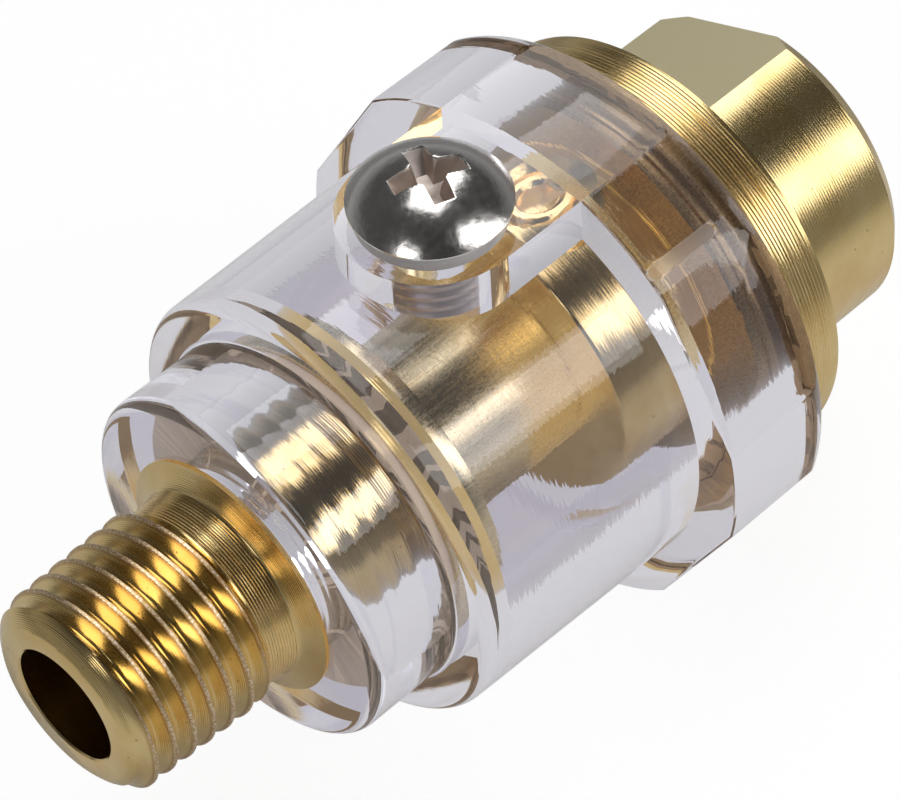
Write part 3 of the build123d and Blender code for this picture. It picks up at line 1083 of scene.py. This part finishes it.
def metering_screw():
    """Needle, stem and thread in one, with the hexagon socket cut in its top."""
    stem_high = METERING_THREAD_LOW + 0.2
    needle = turned(
        [(SCREW_LOW, 0), (SCREW_LOW, 0.3), (SCREW_LOW + 1, NEEDLE_R), (STEM_LOW, NEEDLE_R)]
        + [(STEM_LOW, STEM_R), (stem_high, STEM_R), (stem_high, 0)],
        steps=64,
    )
    thread = threaded(
        METERING_THREAD_LOW, SCREW_HIGH, 2.02, shank_r, FINE_PITCH,
        limit=lambda x: (0, 2.1 + SCREW_HIGH - x), steps=64,
    )
    socket = hexagon_bar(0, 2, HEX_ACROSS)
    moved(socket, Matrix.Translation((SCREW_HIGH - HEX_DEPTH, 0, 0)))
    mouth = turned(
        [(SCREW_HIGH - 0.35, 0), (SCREW_HIGH - 0.35, 1.3)]
        + [(SCREW_HIGH + 0.1, 1.75), (SCREW_HIGH + 0.1, 0)],
        steps=64,
    )
    screw = combined(needle, ("UNION", thread), ("DIFFERENCE", socket), ("DIFFERENCE", mouth))
    return moved(screw, upright(metering_x))


finished(metering_screw(), "socket_screw", "metering_screw", "metering_needle", fine_brass)

# %% [markdown]
# ## Seals and the wick
# The gaskets are plain washers, the O-rings are rings of round section, and the wick is a felt rod.

# %% Seals
RING_POINTS = 24


def gasket(node, outer_r, inner_r):
    """A washer as thick as its CAD node."""
    low, high = reach(node)
    ring = turned([(low, inner_r), (low, outer_r), (high, outer_r), (high, inner_r)])
    return rounded(ring, 0.08)


def o_ring(section_r, ring_r):
    """A ring of round section. The chain closes itself, so its arc stops one point early."""
    last = 360 - 360 / RING_POINTS
    return turned(arc((0, ring_r), section_r, 0, last, RING_POINTS - 1), steps=96)


finished(
    gasket("front_gasket", 9.9, 4.75),
    "front_washer", "front_gasket", "lubricator", fibre,
)
finished(
    gasket("rear_gasket", 14.1, collar_bore_r),
    "rear_washer", "rear_gasket", "lubricator", orange_rubber,
)
ring_x = sum(reach("spigot_o_ring")) / 2
finished(
    moved(o_ring(0.45, 4.265), Matrix.Translation((ring_x, 0, 0))),
    "spigot_ring", "spigot_o_ring", "lubricator", black_rubber,
)
finished(
    moved(o_ring(0.5, 1.315), upright(metering_x, 3.9)),
    "needle_ring", "metering_o_ring", "metering_ring", black_rubber,
)
wick = turned([(-11.3, 0), (-11.3, 1.05), (-3.7, 1.05), (-3.7, 0)], steps=48)
finished(
    moved(rounded(wick, 0.2, 3), upright(metering_x)),
    "felt_wick", "oil_wick", "lubricator", felt,
)

# %% [markdown]
# ## The studio
# A pale floor under the part, three softboxes, and a sky that is dark above and pale near the
# horizon, because metal shows what is round it and needs both. The camera sees floor and sky as
# white through the Light Path node, and no lamp is stronger for it. A ray that has been in the clear
# plastic sees them pale from every side, as if the part stood in a white tent, or the plastic would
# look black. The exception is the brass behind a wall of plastic, which keeps the dark sky in its
# reflections.

# %% Floor
FLOOR_SIZE = 3.0
SHEET_R = 0.06
GLOW_SHARE = 0.85
CAMERA_SHARE = 0.8
METAL_SEES = 0.15
CAMERA_ADDS = 0.97
PLASTIC_ADDS = 0.56


def within_plastic(tree, path):
    """1 for a ray that has been in the clear plastic, unless it met brass behind one wall of it."""
    depth = path.outputs["Transmission Depth"]
    through_wall = near_value(tree, depth, 2.0, 0.5)
    reflected = near_value(tree, path.outputs["Glossy Depth"], 1.0, 0.5)
    behind = math(tree, "MULTIPLY", through_wall, reflected)
    entered = math(tree, "GREATER_THAN", depth, 0.5)
    return math(tree, "MULTIPLY", entered, math(tree, "SUBTRACT", 1.0, behind))


def pale_floor():
    """A white floor that keeps the part's shadow, and glows for what only reflects it."""
    bm = bmesh.new()
    bmesh.ops.create_grid(bm, x_segments=1, y_segments=1, size=FLOOR_SIZE)
    floor = as_object(bm, "floor")
    bm.free()
    floor.location.z = cad_bounds[0][2]
    material, tree, output = new_material("pale floor")
    matte = add(tree, "ShaderNodeBsdfDiffuse", {"Color": (0.9, 0.9, 0.9, 1)})
    path = add(tree, "ShaderNodeLightPath")
    inside = within_plastic(tree, path)
    camera = path.outputs["Is Camera Ray"]
    coords = add(tree, "ShaderNodeTexCoord")
    away = add(tree, "ShaderNodeVectorMath", {0: coords.outputs["Object"]}, operation="LENGTH")
    far = ranged(tree, away.outputs["Value"], SHEET_R, 2 * SHEET_R, 0.0, GLOW_SHARE)
    glossy, passing = path.outputs["Is Glossy Ray"], path.outputs["Is Transmission Ray"]
    share = math(tree, "MULTIPLY", math(tree, "MAXIMUM", glossy, passing), far)
    share = math(tree, "MAXIMUM", share, math(tree, "MULTIPLY", camera, CAMERA_SHARE))
    share = math(tree, "MAXIMUM", share, math(tree, "MULTIPLY", inside, GLOW_SHARE))
    strength = math(tree, "ADD", METAL_SEES, math(tree, "MULTIPLY", camera, CAMERA_ADDS))
    strength = math(tree, "ADD", strength, math(tree, "MULTIPLY", inside, PLASTIC_ADDS))
    glow = add(tree, "ShaderNodeEmission", {"Color": (1, 1, 1, 1), "Strength": strength})
    mixed = mixed_shader(tree, share, matte.outputs[0], glow.outputs[0])
    tree.links.new(mixed, output.inputs["Surface"])
    floor.data.materials.append(material)
    print(f"floor at {floor.location.z:.4f} m")


pale_floor()

# %% Lights


def softbox(name, centre, along, length, width, power):
    """A rectangular lamp at centre that faces the part, with its long side turned towards along."""
    data = bpy.data.lights.new(name, "AREA")
    data.shape = "RECTANGLE"
    data.size = length
    data.size_y = width
    data.energy = power
    lamp = in_scene(name, data)
    back = Vector(centre).normalized()
    side = back.cross(Vector(along)).normalized()
    turn = Matrix((side.cross(back), side, back)).transposed().to_4x4()
    lamp.matrix_world = Matrix.Translation(Vector(centre) + Vector((0, 0, ORIGIN.z))) @ turn


softbox("overhead softbox", (0.16, 0.12, 0.47), (0.85, 0.42, -0.3), 0.56, 0.3, 1.15)
softbox("front softbox", (0.22, -0.37, 0.26), (0.85, -0.1, -0.5), 0.5, 0.17, 0.7)
softbox("left softbox", (-0.4, -0.1, 0.28), (0, 1, 0), 0.16, 0.14, 0.2)
print(f"{len(bpy.data.lights)} softboxes")

# %% World


def studio_sky():
    """The sky's strength by height, and by what looks at it."""
    world = bpy.data.worlds.new("studio")
    bpy.context.scene.world = world
    world.use_nodes = True
    tree = world.node_tree
    tree.nodes.clear()
    coords = add(tree, "ShaderNodeTexCoord")
    split = add(tree, "ShaderNodeSeparateXYZ", {0: coords.outputs["Generated"]})
    height = ranged(tree, split.outputs["Z"], -0.1, 0.35, 1.0, 0.15)
    behind = ranged(tree, split.outputs["Y"], -0.5, 0.8, 0.25, 0.45)
    strength = math(tree, "MULTIPLY", height, behind)
    path = add(tree, "ShaderNodeLightPath")
    pale = ranged(tree, split.outputs["Z"], 0.0, 0.7, 0.76, 0.52)
    inside = math(tree, "MULTIPLY", within_plastic(tree, path), pale)
    strength = math(tree, "MAXIMUM", strength, inside)
    strength = math(tree, "MAXIMUM", strength, path.outputs["Is Camera Ray"])
    sky = add(tree, "ShaderNodeBackground", {"Color": (1, 1, 1, 1), "Strength": strength})
    out = tree.nodes.new("ShaderNodeOutputWorld")
    tree.links.new(sky.outputs[0], out.inputs["Surface"])


studio_sky()

# %% [markdown]
# ## The camera
# It stands where the photograph was taken from: left of the outlet, in front and above, and close
# enough for the near end to look larger than the far one.

# %% Camera
CAMERA_PLACE = Vector((-81.291, -121.650, 186.071))
CAMERA_RIGHT = Vector((0.70383, -0.70922, -0.04051))
CAMERA_UP = Vector((0.54961, 0.50753, 0.66358))
CAMERA_LENS = 168.545


def photo_camera():
    """The camera of the photograph, in place in the frame."""
    data = bpy.data.cameras.new("photo")
    data.lens = CAMERA_LENS
    data.sensor_width = 36.0
    data.sensor_fit = "HORIZONTAL"
    data.clip_start = 0.01
    camera = in_scene("photo", data)
    back = CAMERA_RIGHT.cross(CAMERA_UP)
    turn = Matrix((CAMERA_RIGHT, CAMERA_UP, back)).transposed().to_4x4()
    camera.matrix_world = Matrix.Translation(TO_FRAME @ CAMERA_PLACE) @ turn
    bpy.context.scene.camera = camera
    print(f"camera {CAMERA_PLACE.length * MM:.2f} m from the outlet, {CAMERA_LENS:.0f} mm lens")


photo_camera()
bpy.context.scene.view_settings.view_transform = "Standard"
